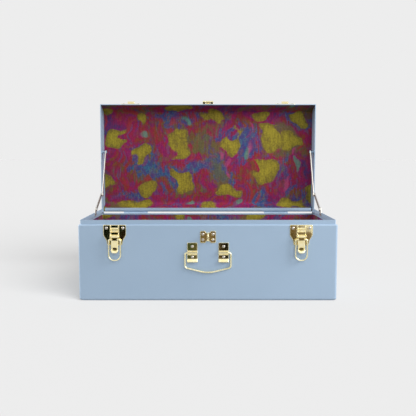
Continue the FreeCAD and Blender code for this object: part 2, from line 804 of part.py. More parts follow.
def staple_plate():
    leaf_half = staple_leaf_width / 2
    leaf = rounded_rectangle(leaf_half, staple_half_height, staple_corner_radius)
    left = leaf.copy()
    left.translate(vector(leaf_half - staple_half_width, staple_height, 0))
    right = leaf.copy()
    right.translate(vector(staple_half_width - leaf_half, staple_height, 0))
    bridge = block(-staple_half_width + leaf_half, staple_half_width - leaf_half, -staple_plate_thickness, 0,
                   staple_height - staple_neck_half_height, staple_height + staple_neck_half_height)
    plate = fuse(bridge, seen_from_front(left, 0, staple_plate_thickness),
                 seen_from_front(right, 0, staple_plate_thickness))
    foot = -staple_plate_thickness / 2
    low = staple_height - staple_loop_half_height
    high = staple_height + staple_loop_half_height
    loop = closed_face([(foot, staple_height), (foot, high), (-staple_loop_reach, high),
                        (-staple_loop_reach, low), (foot, low)],
                       [0, staple_loop_radius, staple_loop_radius, 0])
    loop = seen_from_side(loop, -staple_loop_half_thickness, staple_loop_half_thickness)
    eye = cross_rod(staple_eye_radius, (-staple_eye_standoff, staple_height), -overrun, overrun)
    return fuse(plate, loop).cut(eye)


def staple_rivet_places():
    return [vector(x, -half_depth - staple_plate_thickness, staple_height + rise)
            for x in (-staple_rivet_half_spacing, staple_rivet_half_spacing)
            for rise in (-staple_rivet_half_rise, staple_rivet_half_rise)]


# Carry handle: two humped straps hold the turned-in ends of a wire

def handle_bracket():
    axis = (-handle_standoff, handle_axis_height)
    half = bracket_half_width
    low = handle_axis_height - bracket_drop
    high = handle_axis_height + bracket_rise
    strip = strip_face([(-bracket_lip_standoff, handle_axis_height - bracket_lip_drop), (0, low), (0, high)],
                       [bracket_lip_bend], -bracket_sheet, 0)
    strap = seen_from_side(strip, -half, half)
    outline = rounded_rectangle(half, high, bracket_corner_radius, handle_axis_height - bracket_lip_drop - overrun)
    strap = strap.common(seen_from_front(outline, -overrun, bracket_lip_standoff + overrun))
    strap = fuse(strap, cross_rod(bracket_hump_radius, axis, -half, half))
    roots = []
    for edge in strap.Edges:
        middle = edge.valueAt((edge.FirstParameter + edge.LastParameter) / 2)
        on_face = abs(middle.y + bracket_sheet) < 1e-5
        near = abs(middle.z - handle_axis_height) < bracket_hump_radius
        if on_face and near and abs(middle.x) < half / 2:
            roots.append(edge)
    strap = strap.makeFillet(bracket_hump_fillet, roots)
    radius = handle_wire_radius + pin_clearance
    behind = block(-half, half, 0, overrun, low, high)
    saddle = block(-half, half, -handle_standoff, 0, handle_axis_height - radius, handle_axis_height + radius)
    return cut(strap, behind, cross_rod(radius, axis, -half, half), saddle)


def handle_bail():
    foot = -handle_leg
    wire = bent_wire([(-handle_end_half_width, 0), (-handle_half_width, 0), (-handle_half_width, foot),
                      (0, -handle_drop), (handle_half_width, foot), (handle_half_width, 0),
                      (handle_end_half_width, 0)],
                     [handle_elbow_radius, handle_foot_radius, handle_sweep_radius, handle_foot_radius,
                      handle_elbow_radius], handle_wire_radius)
    wire.translate(vector(0, -half_depth - handle_standoff, handle_axis_height))
    return wire


def handle_rivet_places():
    return [vector(x, -half_depth - bracket_sheet, handle_axis_height + rise)
            for x in (-handle_bracket_x, handle_bracket_x)
            for rise in (-bracket_rivet_drop, bracket_rivet_rise)]


# Folding stays, drawn at the right end and mirrored for the left

def stay_bracket():
    along, pivot_z = stay_base_pivot_at
    low = neck_top - stay_bracket_foot_drop
    high = pivot_z + stay_bracket_tip_rise
    half = stay_bracket_half_width
    tip = stay_bracket_tip_half_width
    outline = closed_face([(along, low), (along + half, low), (along + half, neck_top), (along + tip, high),
                           (along - tip, high), (along - half, neck_top), (along - half, low)],
                          [stay_bracket_radius] * 6)
    plate = seen_from_side(outline, neck_inner_x - stay_bracket_sheet, neck_inner_x)
    return plate.cut(cross_rod(stay_pin_radius + pin_clearance, stay_base_pivot_at, 0, trunk_width))


def stay_base_pivot():
    head_out = lower_link_inner - running_gap
    pin = cross_rod(stay_pin_radius, stay_base_pivot_at, head_out - stay_head_height / 2, neck_inner_x)
    return fuse(pin, cross_rod(stay_head_radius, stay_base_pivot_at, head_out - stay_head_height, head_out))


def stay_lower_link():
    link = flat_link(stay_base_pivot_at, stay_elbow_at, stay_half_width, lower_link_inner, lower_link_outer)
    bore = stay_pin_radius + pin_clearance
    return cut(link, cross_rod(bore, stay_base_pivot_at, 0, trunk_width),
               cross_rod(bore, stay_elbow_at, 0, trunk_width))


def stay_elbow_rivet():
    return cross_rod(stay_pin_radius, stay_elbow_at, lower_link_inner, lower_link_outer)


def stay_upper_link():
    link = flat_link(stay_elbow_at, lid_pivot_open_at, stay_half_width, upper_link_inner, upper_link_outer)
    bore = stay_pin_radius + pin_clearance
    return cut(link, cross_rod(bore, stay_elbow_at, 0, trunk_width),
               cross_rod(bore, lid_pivot_open_at, 0, trunk_width))


def stay_elbow_cap():
    spacer_end = lower_link_inner - running_gap
    head = cross_rod(stay_head_radius, stay_elbow_at, upper_link_inner - stay_head_height, upper_link_inner)
    shank = cross_rod(stay_pin_radius, stay_elbow_at, upper_link_inner, upper_link_outer)
    spacer = cross_rod(stay_stud_radius, stay_elbow_at, upper_link_outer, spacer_end)
    return fuse(head, shank, spacer)


def stay_lid_stud():
    inner_face = half_width - sheet
    head_out = upper_link_inner - running_gap
    pin = cross_rod(stay_pin_radius, lid_pivot_open_at, head_out - stay_head_height / 2, half_width)
    head = cross_rod(stay_head_radius, lid_pivot_open_at, head_out - stay_head_height, head_out)
    collar = cross_rod(stay_stud_radius, lid_pivot_open_at, upper_link_outer + running_gap, inner_face)
    foot = cross_rod(stay_stud_foot_radius, lid_pivot_open_at, inner_face - stay_stud_foot_height, inner_face)
    return fuse(pin, head, collar, foot)


def stay_rivet_places():
    height = neck_top - stay_rivet_drop
    return [vector(neck_inner_x - stay_bracket_sheet, stay_pivot_y + offset, height)
            for offset in (-stay_rivet_half_spacing, stay_rivet_half_spacing)]


# Rivets and their holes, drilled through every sheet they clamp

def rivet_group(places, outward, grip, share=1.0):
    return compound(rivet_at(place, outward, grip, share) for place in places)


def drilled(shape, places, outward, share=1.0):
    return cut(shape, *[rivet_hole(place, outward, share) for place in places])


to_front = vector(0, -1, 0)
to_back = vector(0, 1, 0)
to_left = vector(-1, 0, 0)
front_base_places = latch_rivet_places() + staple_rivet_places() + handle_rivet_places()

shell = drilled(base_shell(), front_base_places, to_front)
shell = drilled(shell, hinge_rivet_places(-1), to_back)
shell = drilled(shell, stay_rivet_places(), to_left, small_rivet_share)
left_places = [vector(-place.x, place.y, place.z) for place in stay_rivet_places()]
parts["base_shell"] = drilled(shell, left_places, to_left, small_rivet_share)
parts["bottom_panel"] = bottom_panel()
parts["wall_lining"] = wall_lining()
parts["floor_lining"] = floor_lining()

lid = drilled(lid_shell(), keeper_rivet_places(), to_front)
lid = drilled(lid, hasp_rivet_places(), to_front, hasp_rivet_share)
parts["lid_shell"] = opened(drilled(lid, hinge_rivet_places(1), to_back))
parts["lid_end_left"] = opened(lid_end(-1))
parts["lid_end_right"] = opened(lid_end(1))
parts["lid_lining"] = opened(lid_lining())

for name, x in (("left", hinge_left_x), ("right", hinge_right_x)):
    base_leaf = hinge_leaf(x, 0, -1, hinge_leaf_height)
    lid_leaf = hinge_leaf(x, 1, 1, hinge_lid_leaf_height)
    parts["hinge_base_leaf_" + name] = drilled(base_leaf, hinge_rivet_places(-1), to_back)
    parts["hinge_lid_leaf_" + name] = opened(drilled(lid_leaf, hinge_rivet_places(1), to_back))
    parts["hinge_pin_" + name] = hinge_pin(x)
hinge_grip = hinge_leaf_thickness + sheet
parts["hinge_rivets_base"] = rivet_group(hinge_rivet_places(-1), to_back, hinge_grip)
parts["hinge_rivets_lid"] = opened(rivet_group(hinge_rivet_places(1), to_back, hinge_grip))

for name, side in (("left", -1), ("right", 1)):
    x = side * latch_x
    parts["latch_plate_" + name] = drilled(on_front(latch_plate(), x), latch_rivet_places(), to_front)
    parts["latch_pin_" + name] = on_front(latch_pin(), x)
    parts["latch_lever_" + name] = on_front(latch_lever(), x)
    parts["latch_bail_" + name] = on_front(latch_bail(), x)
    hook = drilled(on_front(keeper(), side * keeper_x), keeper_rivet_places(), to_front)
    parts["keeper_" + name] = opened(hook)
    bracket = on_front(handle_bracket(), side * handle_bracket_x)
    parts["handle_bracket_" + name] = drilled(bracket, handle_rivet_places(), to_front)
parts["latch_rivets"] = rivet_group(latch_rivet_places(), to_front, latch_plate_thickness + sheet)
parts["keeper_rivets"] = opened(rivet_group(keeper_rivet_places(), to_front, keeper_thickness + sheet))
parts["handle_rivets"] = rivet_group(handle_rivet_places(), to_front, bracket_sheet + sheet)
parts["handle_bail"] = handle_bail()

leaf = drilled(on_front(hasp_leaf(), 0), hasp_rivet_places(), to_front, hasp_rivet_share)
parts["hasp_leaf"] = opened(leaf)
parts["hasp_pin"] = opened(on_front(hasp_pin(), 0))
parts["hasp_strap"] = opened(on_front(hasp_strap(), 0))
hasp_grip = hasp_leaf_thickness + sheet
parts["hasp_rivets"] = opened(rivet_group(hasp_rivet_places(), to_front, hasp_grip, hasp_rivet_share))
parts["staple_plate"] = drilled(on_front(staple_plate(), 0), staple_rivet_places(), to_front)
parts["staple_rivets"] = rivet_group(staple_rivet_places(), to_front, staple_plate_thickness + sheet)

stay_grip = stay_bracket_sheet + sheet
stay_rivets = rivet_group(stay_rivet_places(), to_left, stay_grip, small_rivet_share)
right_stay = {
    "stay_bracket": drilled(stay_bracket(), stay_rivet_places(), to_left, small_rivet_share),
    "stay_base_pivot": stay_base_pivot(),
    "stay_lower_link": stay_lower_link(),
    "stay_elbow_rivet": stay_elbow_rivet(),
    "stay_upper_link": stay_upper_link(),
    "stay_elbow_cap": stay_elbow_cap(),
    "stay_lid_stud": stay_lid_stud(),
}
for name, shape in right_stay.items():
    parts[name + "_right"] = shape
    parts[name + "_left"] = mirrored(shape)
parts["stay_bracket_rivets"] = compound([stay_rivets, mirrored(stay_rivets)])

os.makedirs("parts", exist_ok=True)
for name, shape in parts.items():
    shape.exportStep("parts/" + name + ".step")
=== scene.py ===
"""Looks for a sheet-steel trunk: baked enamel, polished brass fittings and a printed paper lining."""

import json
import math
from types import SimpleNamespace

import bmesh
import bpy
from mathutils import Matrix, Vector


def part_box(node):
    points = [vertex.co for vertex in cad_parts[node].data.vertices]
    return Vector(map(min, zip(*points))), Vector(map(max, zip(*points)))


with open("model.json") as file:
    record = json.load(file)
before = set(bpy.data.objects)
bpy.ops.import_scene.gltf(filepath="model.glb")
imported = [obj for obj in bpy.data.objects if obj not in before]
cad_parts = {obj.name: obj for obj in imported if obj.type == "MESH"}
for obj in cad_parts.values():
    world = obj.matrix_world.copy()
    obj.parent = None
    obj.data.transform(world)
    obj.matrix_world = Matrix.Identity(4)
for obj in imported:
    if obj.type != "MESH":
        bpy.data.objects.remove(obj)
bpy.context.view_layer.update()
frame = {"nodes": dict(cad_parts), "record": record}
nodes = frame["nodes"]
MM = 0.001


def linear(hex_colour):
    """sRGB hex to a linear RGBA tuple."""
    values = [int(hex_colour[i:i + 2], 16) / 255 for i in (1, 3, 5)]
    return tuple(v / 12.92 if v <= 0.04045 else ((v + 0.055) / 1.055) ** 2.4 for v in values) + (1.0,)


def add_node(tree, kind, sockets=None, stops=None, **settings):
    """Add a node with its settings, values or links for its sockets, and the stops of a colour ramp.

    A Mix node's sockets go by number: 0 is the factor, 2 and 3 are its values, and 6 and 7 its colours.
    """
    node = tree.nodes.new(kind)
    for name, value in settings.items():
        setattr(node, name, value)
    for name, value in (sockets or {}).items():
        if isinstance(value, bpy.types.NodeSocket):
            tree.links.new(value, node.inputs[name])
        else:
            node.inputs[name].default_value = value
    for index, (place, colour) in enumerate(stops or []):
        elements = node.color_ramp.elements
        element = elements[index] if index < len(elements) else elements.new(place)
        element.position = place
        element.color = linear(colour)
    return node


def new_material(name, **values):
    """Empty material with a Principled shader wired to the output; values are those of its sockets."""
    material = bpy.data.materials.new(name)
    material.use_nodes = True
    tree = material.node_tree
    tree.nodes.clear()
    sockets = {key.replace("_", " "): value for key, value in values.items()}
    shader = add_node(tree, "ShaderNodeBsdfPrincipled", sockets)
    add_node(tree, "ShaderNodeOutputMaterial", {"Surface": shader.outputs["BSDF"]})
    return material, tree, shader


def per_metre(size_mm):
    """Texture scale whose features are about this many millimetres across."""
    return 1000 / size_mm


# Enamel sprayed on steel sheet and baked: smooth and satin, with a faint orange peel that softens
# the highlights
def make_enamel():
    material, tree, shader = new_material("enamel_sprayed_and_baked_on_steel", IOR=1.5,
                                          Specular_IOR_Level=0.35)
    place = add_node(tree, "ShaderNodeTexCoord").outputs["Object"]
    cloud = add_node(tree, "ShaderNodeTexNoise", {"Vector": place, "Scale": per_metre(140), "Detail": 2.0})
    colour = add_node(tree, "ShaderNodeValToRGB", {"Fac": cloud.outputs["Fac"]},
                      stops=[(0.3, "#9CB2C8"), (0.7, "#9FB5CB")])
    patches = add_node(tree, "ShaderNodeTexNoise", {"Vector": place, "Scale": per_metre(25), "Detail": 3.0})
    satin = add_node(tree, "ShaderNodeMapRange",
                     {"Value": patches.outputs["Fac"], "To Min": 0.36, "To Max": 0.46})
    peel = add_node(tree, "ShaderNodeTexNoise", {"Vector": place, "Scale": per_metre(2.5), "Detail": 2.0})
    bump = add_node(tree, "ShaderNodeBump",
                    {"Height": peel.outputs["Fac"], "Strength": 0.04, "Distance": 0.2 * MM})
    tree.links.new(colour.outputs["Color"], shader.inputs["Base Color"])
    tree.links.new(satin.outputs["Result"], shader.inputs["Roughness"])
    tree.links.new(bump.outputs["Normal"], shader.inputs["Normal"])
    return material


def vary_finish(tree, shader, patch_mm, detail, colours, roughness, stretch=None):
    """Let a metal's colour and roughness drift from patch to patch; a stretch draws the patches out."""
    place = add_node(tree, "ShaderNodeTexCoord").outputs["Object"]
    if stretch:
        place = add_node(tree, "ShaderNodeMapping", {"Vector": place, "Scale": stretch}).outputs["Vector"]
    cloud = add_node(tree, "ShaderNodeTexNoise",
                     {"Vector": place, "Scale": per_metre(patch_mm), "Detail": detail})
    colour = add_node(tree, "ShaderNodeValToRGB", {"Fac": cloud.outputs["Fac"]}, stops=colours)
    smooth, rough = roughness
    haze = add_node(tree, "ShaderNodeMapRange",
                    {"Value": cloud.outputs["Fac"], "To Min": smooth, "To Max": rough})
    tree.links.new(colour.outputs["Color"], shader.inputs["Base Color"])
    tree.links.new(haze.outputs["Result"], shader.inputs["Roughness"])


# Brass sheet, blanked, pressed, polished and lacquered: a mirror, faintly rippled, with eased edges
# that catch the light
def make_brass_sheet(name, edge_mm):
    material, tree, shader = new_material(name, Metallic=1.0)
    vary_finish(tree, shader, 9, 4.0, [(0.35, "#F8E8AE"), (0.65, "#FCF2C8")], (0.04, 0.09))
    place = add_node(tree, "ShaderNodeTexCoord").outputs["Object"]
    eased = add_node(tree, "ShaderNodeBevel", {"Radius": edge_mm * MM}, samples=6)
    ripple = add_node(tree, "ShaderNodeTexNoise", {"Vector": place, "Scale": per_metre(7), "Detail": 1.0})
    bump = add_node(tree, "ShaderNodeBump", {"Height": ripple.outputs["Fac"], "Strength": 0.18,
                                             "Distance": 0.2 * MM, "Normal": eased.outputs["Normal"]})
    tree.links.new(bump.outputs["Normal"], shader.inputs["Normal"])
    return material


# Brass wire, drawn, bent and polished: bright and round, a little softer in its shine than the sheet
def make_brass_wire():
    material, tree, shader = new_material("brass_wire_drawn_and_polished", Metallic=1.0)
    vary_finish(tree, shader, 6, 3.0, [(0.35, "#FBF0BE"), (0.65, "#FFF8D6")], (0.16, 0.26))
    return material


# Nickel plate on steel rivets, headed and barrel polished: small silver domes with a soft reflection
def make_nickel():
    material, tree, shader = new_material("nickel_plated_and_barrel_polished", Metallic=1.0)
    vary_finish(tree, shader, 1.5, 3.0, [(0.3, "#ACA69D"), (0.7, "#BDB8B0")], (0.14, 0.22))
    return material


# Steel strip, blanked, zinc plated and left satin: the stays' upper links and brackets show as a soft
# pale grey
def make_zinc_strip():
    material, tree, shader = new_material("steel_strip_zinc_plated_satin", Metallic=1.0)
    vary_finish(tree, shader, 6, 4.0, [(0.3, "#DCD8CE"), (0.7, "#EAE6DE")], (0.38, 0.5))
    return material


# The same strip, brushed and dulled by handling: the lower links show as a plain grey with streaks up
# them, about 1 mm apart, which is several times as coarse as real brushing so that they show
def make_dull_strip():
    material, tree, shader = new_material("steel_strip_brushed_and_dulled", Metallic=1.0)
    vary_finish(tree, shader, 1.2, 3.0, [(0.3, "#CAC8C4"), (0.7, "#E0DEDA")], (0.40, 0.52),
                stretch=(1.0, 1.0, 0.15))
    return material


# The lining's print: each layer is a function that lies over the colour before it. All of them share
# the place on the painted sheet and the marks of the brush

def place_on_sheet(tree):
    """Place across and up the flat sheet of the print.

    The print runs on round the bends of the lid's sheet, which is measured from the middle of the open
    lid, and the pieces on the trunk's ends are cut apart from it.
    """
    board = 1.0 * MM
    lid_low, lid_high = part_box("lid_lining")
    lid_middle = (lid_low[2] + lid_high[2]) / 2
    lid_back = lid_high[1] - board
    texture = add_node(tree, "ShaderNodeTexCoord")
    facing = add_node(tree, "ShaderNodeVectorMath", {0: texture.outputs["Normal"]}, operation="ABSOLUTE")
    facing = add_node(tree, "ShaderNodeSeparateXYZ", {"Vector": facing.outputs["Vector"]})
    point = add_node(tree, "ShaderNodeSeparateXYZ", {"Vector": texture.outputs["Object"]})
    is_end = add_node(tree, "ShaderNodeMath", {0: facing.outputs["X"], 1: 0.7}, operation="GREATER_THAN")
    across = add_node(tree, "ShaderNodeMix",
                      {0: is_end.outputs[0], 2: point.outputs["X"], 3: point.outputs["Y"]})
    rise = add_node(tree, "ShaderNodeMath", {0: point.outputs["Z"], 1: lid_middle}, operation="SUBTRACT")
    side = add_node(tree, "ShaderNodeMath", {0: rise.outputs[0]}, operation="SIGN")
    near = add_node(tree, "ShaderNodeMath", {0: lid_back, 1: point.outputs["Y"]}, operation="SUBTRACT")
    bent = add_node(tree, "ShaderNodeMath", {0: side.outputs[0], 1: near.outputs[0], 2: rise.outputs[0]},
                    operation="MULTIPLY_ADD")
    upward = add_node(tree, "ShaderNodeMix",
                      {0: is_end.outputs[0], 2: bent.outputs[0], 3: point.outputs["Z"]})
    sheet = add_node(tree, "ShaderNodeCombineXYZ", {"X": across.outputs[0], "Y": upward.outputs[0]})
    return sheet.outputs["Vector"]


def wandering_place(tree, sheet):
    """The place as the brush wanders: edges bend in slow waves of some 15 mm and quick ones of 2 mm."""
    place = sheet
    for wave_mm, detail, swing_mm in ((75, 1.0, 75), (9, 2.0, 6)):
        wave = add_node(tree, "ShaderNodeTexNoise",
                        {"Vector": sheet, "Scale": per_metre(wave_mm), "Detail": detail},
                        noise_dimensions="2D")
        wave = add_node(tree, "ShaderNodeVectorMath", {0: wave.outputs["Color"], 1: (0.5, 0.5, 0.5)},
                        operation="SUBTRACT")
        wave = add_node(tree, "ShaderNodeVectorMath", {0: wave.outputs["Vector"], "Scale": swing_mm * MM},
                        operation="SCALE")
        place = add_node(tree, "ShaderNodeVectorMath", {0: place, 1: wave.outputs["Vector"]},
                         operation="ADD").outputs["Vector"]
    return place


def make_brush(tree):
    """What the layers share: the wandering place, bristle streaks, the dabs of a dry brush, and a speckle.

    The streaks run up the sheet about 3 mm apart, twice as coarse as real ones so that they show.
    """
    sheet = place_on_sheet(tree)
    marks = []
    for squeeze, size_mm, detail, roughness in ((0.07, 3.0, 3.0, 0.6), (0.5, 11, 4.0, 0.65),
                                                (1.0, 5, 3.0, 0.65)):
        upright = add_node(tree, "ShaderNodeMapping", {"Vector": sheet, "Scale": (1.0, squeeze, 1.0)})
        mark = add_node(tree, "ShaderNodeTexNoise",
                        {"Vector": upright.outputs["Vector"], "Scale": per_metre(size_mm),
                         "Detail": detail, "Roughness": roughness}, noise_dimensions="2D")
        marks.append(mark.outputs["Fac"])
    bristles, dabs, speckle = marks
    return SimpleNamespace(place=wandering_place(tree, sheet), bristles=bristles, dabs=dabs, speckle=speckle)


def broken_cloud(tree, brush, size_mm, shift, dab_share, bristle_share):
    """Soft cloud of paint whose edge is broken up by the dabs and the bristles."""
    moved = add_node(tree, "ShaderNodeMapping", {"Vector": brush.place, "Location": shift})
    cloud = add_node(tree, "ShaderNodeTexNoise", {"Vector": moved.outputs["Vector"], "Detail": 2.0,
                                                  "Scale": per_metre(size_mm), "Roughness": 0.5},
                     noise_dimensions="2D")
    cloud = cloud.outputs["Fac"]
    for mark, share in ((brush.dabs, dab_share), (brush.bristles, bristle_share)):
        cloud = add_node(tree, "ShaderNodeMath", {0: mark, 1: share, 2: cloud},
                         operation="MULTIPLY_ADD").outputs[0]
    return cloud


def lay_washes(tree, brush):
    """Ground of plum, magenta, red and brown washes."""
    wash = broken_cloud(tree, brush, 120, (0.0, 0.0, 0.0), dab_share=0.55, bristle_share=0.12)
    ground = add_node(tree, "ShaderNodeValToRGB", {"Fac": wash},
                      stops=[(0.60, "#54306A"), (0.68, "#7E1F5C"), (0.78, "#9A1C5C"), (0.86, "#92223E"),
                             (0.94, "#84382E"), (1.0, "#6E5434")])
    return ground.outputs["Color"]


def lay_clouds(tree, brush, under):
    """Thin blue and green-blue clouds that let the ground show through."""
    cloud = broken_cloud(tree, brush, 88, (0.31, 0.17, 0.0), dab_share=-0.5, bristle_share=0.25)
    cover = add_node(tree, "ShaderNodeMapRange",
                     {"Value": cloud, "From Min": 0.40, "From Max": 0.50, "To Max": 0.92},
                     interpolation_type="SMOOTHSTEP")
    blue = add_node(tree, "ShaderNodeMix", {0: 0.35, 2: brush.dabs, 3: brush.speckle})
    blue = add_node(tree, "ShaderNodeValToRGB", {"Fac": blue.outputs[0]},
                    stops=[(0.38, "#43407E"), (0.5, "#30558A"), (0.62, "#3C7688")])
    return add_node(tree, "ShaderNodeMix", {0: cover.outputs["Result"], 6: under, 7: blue.outputs["Color"]},
                    data_type="RGBA").outputs[2]


def lay_touches(tree, brush, under):
    """Touches of a small brush, each in a colour of its own, thinly over ground and clouds."""
    place = add_node(tree, "ShaderNodeMapping", {"Vector": brush.place, "Rotation": (0.0, 0.0, 0.25),
                                                 "Scale": (1.0, 0.7, 1.0)})
    touches = add_node(tree, "ShaderNodeTexVoronoi",
                       {"Vector": place.outputs["Vector"], "Scale": per_metre(8)},
                       voronoi_dimensions="2D")
    lot = add_node(tree, "ShaderNodeSeparateColor", {"Color": touches.outputs["Color"]})
    colour = add_node(tree, "ShaderNodeValToRGB", {"Fac": lot.outputs["Red"]},
                      stops=[(0.0, "#2E6E88"), (0.22, "#3E4086"), (0.42, "#6A1E6A"), (0.6, "#A01254"),
                             (0.8, "#A23024"), (1.0, "#746028")])
    cover = add_node(tree, "ShaderNodeMapRange", {"Value": lot.outputs["Green"], "To Max": 0.48})
    return add_node(tree, "ShaderNodeMix", {0: cover.outputs[0], 6: under, 7: colour.outputs["Color"]},
                    data_type="RGBA").outputs[2]


def lay_haze(tree, brush, under):
    """Olive haze, where ochre was brushed out thin."""
    haze = broken_cloud(tree, brush, 100, (0.73, 0.41, 0.0), dab_share=0.35, bristle_share=0.0)
    cover = add_node(tree, "ShaderNodeMapRange",
                     {"Value": haze, "From Min": 0.74, "From Max": 0.90, "To Max": 0.75},
                     interpolation_type="SMOOTHSTEP")
    return add_node(tree, "ShaderNodeMix", {0: cover.outputs["Result"], 6: under, 7: linear("#66643A")},
                    data_type="RGBA").outputs[2]


def scatter_marks(tree, brush, apart_mm, lean, squeeze, chosen_by, left_out, edge, core, strength):
    """Small marks, one to a cell and some cells left out: how strongly they cover, and the cells' lots."""
    leaning = add_node(tree, "ShaderNodeMapping", {"Vector": brush.place, "Rotation": (0.0, 0.0, lean),
                                                   "Scale": (1.0, squeeze, 1.0)})
    marks = add_node(tree, "ShaderNodeTexVoronoi",
                     {"Vector": leaning.outputs["Vector"], "Scale": per_metre(apart_mm)},
                     voronoi_dimensions="2D")
    lots = add_node(tree, "ShaderNodeSeparateColor", {"Color": marks.outputs["Color"]})
    chosen = add_node(tree, "ShaderNodeMath", {0: lots.outputs[chosen_by], 1: left_out},
                      operation="GREATER_THAN")
    cover = add_node(tree, "ShaderNodeMapRange", {"Value": marks.outputs["Distance"], "From Min": edge,
                                                  "From Max": core, "To Max": strength})
    cover = add_node(tree, "ShaderNodeMath", {0: cover.outputs[0], 1: chosen.outputs[0]},
                     operation="MULTIPLY")
    return cover.outputs[0], lots


def lay_strokes(tree, brush, under):
    """Short strokes in vermilion and rose, leaning with the hand."""
    cover, lots = scatter_marks(tree, brush, 30, lean=0.6, squeeze=0.42, chosen_by="Red", left_out=0.62,
                                edge=0.26, core=0.14, strength=0.75)
    is_rose = add_node(tree, "ShaderNodeMath", {0: lots.outputs["Blue"], 1: 0.6}, operation="GREATER_THAN")
    colour = add_node(tree, "ShaderNodeMix",
                      {0: is_rose.outputs[0], 6: linear("#A02C38"), 7: linear("#B04674")},
                      data_type="RGBA")
    return add_node(tree, "ShaderNodeMix", {0: cover, 6: under, 7: colour.outputs[2]},
                    data_type="RGBA").outputs[2]


def lay_commas(tree, brush, under):
    """Small commas in sea green."""
    cover, lots = scatter_marks(tree, brush, 46, lean=-0.5, squeeze=0.6, chosen_by="Green", left_out=0.8,
                                edge=0.21, core=0.13, strength=0.8)
    return add_node(tree, "ShaderNodeMix", {0: cover, 6: under, 7: linear("#5E8E7E")},
                    data_type="RGBA").outputs[2]


def lay_half_moons(tree, brush, under):
    """Ochre half moons: each is a round dab with a smaller round bitten out of one side."""
    apart_mm = 112
    smallest, largest = 24 * MM, 38 * MM
    bite_middle = (34 * MM, 4 * MM, 0.0)
    bite_inner, bite_outer = 18 * MM, 21 * MM
    cells = add_node(tree, "ShaderNodeTexVoronoi",
                     {"Vector": brush.place, "Scale": per_metre(apart_mm), "Randomness": 0.7},
                     voronoi_dimensions="2D")
    lots = add_node(tree, "ShaderNodeSeparateColor", {"Color": cells.outputs["Color"]})
    moon = add_node(tree, "ShaderNodeVectorMath", {0: brush.place, 1: cells.outputs["Position"]},
                    operation="SUBTRACT")
    turn = add_node(tree, "ShaderNodeMath", {0: lots.outputs["Red"], 1: 2 * math.pi}, operation="MULTIPLY")
    moon = add_node(tree, "ShaderNodeVectorRotate",
                    {"Vector": moon.outputs["Vector"], "Angle": turn.outputs[0]}, rotation_type="Z_AXIS")
    dab = add_node(tree, "ShaderNodeVectorMath", {0: moon.outputs["Vector"]}, operation="LENGTH")
    reach = add_node(tree, "ShaderNodeMapRange",
                     {"Value": lots.outputs["Green"], "To Min": smallest, "To Max": largest})
    dab = add_node(tree, "ShaderNodeMath", {0: dab.outputs["Value"], 1: reach.outputs[0]},
                   operation="DIVIDE")
    dab = add_node(tree, "ShaderNodeMath", {0: brush.bristles, 1: 0.12, 2: dab.outputs[0]},
                   operation="MULTIPLY_ADD")
    dab_cover = add_node(tree, "ShaderNodeMapRange",
                         {"Value": dab.outputs[0], "From Min": 1.12, "From Max": 1.02})
    bite = add_node(tree, "ShaderNodeVectorMath", {0: moon.outputs["Vector"], 1: bite_middle},
                    operation="DISTANCE")
    bite_cover = add_node(tree, "ShaderNodeMapRange",
                          {"Value": bite.outputs["Value"], "From Min": bite_inner, "From Max": bite_outer})
    cover = add_node(tree, "ShaderNodeMath", {0: dab_cover.outputs[0], 1: bite_cover.outputs[0]},
                     operation="MULTIPLY")

    # The paint lies thicker, and so lighter, towards the middle of a dab
    thickness = add_node(tree, "ShaderNodeMapRange",
                         {"Value": dab.outputs[0], "From Min": 1.05, "From Max": 0.45, "To Max": 0.22})
    ochre = add_node(tree, "ShaderNodeMix", {0: 0.3, 2: brush.dabs, 3: brush.speckle})
    ochre = add_node(tree, "ShaderNodeMath", {0: ochre.outputs[0], 1: thickness.outputs[0]},
                     operation="ADD")
    ochre = add_node(tree, "ShaderNodeValToRGB", {"Fac": ochre.outputs[0]},
                     stops=[(0.36, "#6E6034"), (0.5, "#84742C"), (0.62, "#94862A"), (0.78, "#A4962E")])
    return add_node(tree, "ShaderNodeMix", {0: cover.outputs[0], 6: under, 7: ochre.outputs["Color"]},
                    data_type="RGBA").outputs[2]


# Paper printed with loose painted half moons, clouds and short strokes, pasted on card: matt, mottled,
# and streaked by a dry brush that darkens and lightens everything a little
def make_lining():
    material, tree, shader = new_material("paper_printed_and_pasted_on_card", IOR=1.45, Roughness=0.72,
                                          Specular_IOR_Level=0.25)
    brush = make_brush(tree)
    colour = lay_washes(tree, brush)
    for lay in (lay_clouds, lay_touches, lay_haze, lay_strokes, lay_commas, lay_half_moons):
        colour = lay(tree, brush, colour)
    shade = add_node(tree, "ShaderNodeMath", {0: brush.bristles, 1: brush.speckle}, operation="ADD")
    shade = add_node(tree, "ShaderNodeMapRange", {"Value": shade.outputs[0], "From Min": 0.7,
                                                  "From Max": 1.3, "To Min": 0.60, "To Max": 0.94})
    colour = add_node(tree, "ShaderNodeVectorMath", {0: colour, "Scale": shade.outputs[0]},
                      operation="SCALE")
    grain = add_node(tree, "ShaderNodeBump",
                     {"Height": brush.speckle, "Strength": 0.1, "Distance": 0.1 * MM})
    tree.links.new(colour.outputs["Vector"], shader.inputs["Base Color"])
    tree.links.new(grain.outputs["Normal"], shader.inputs["Normal"])
    return material


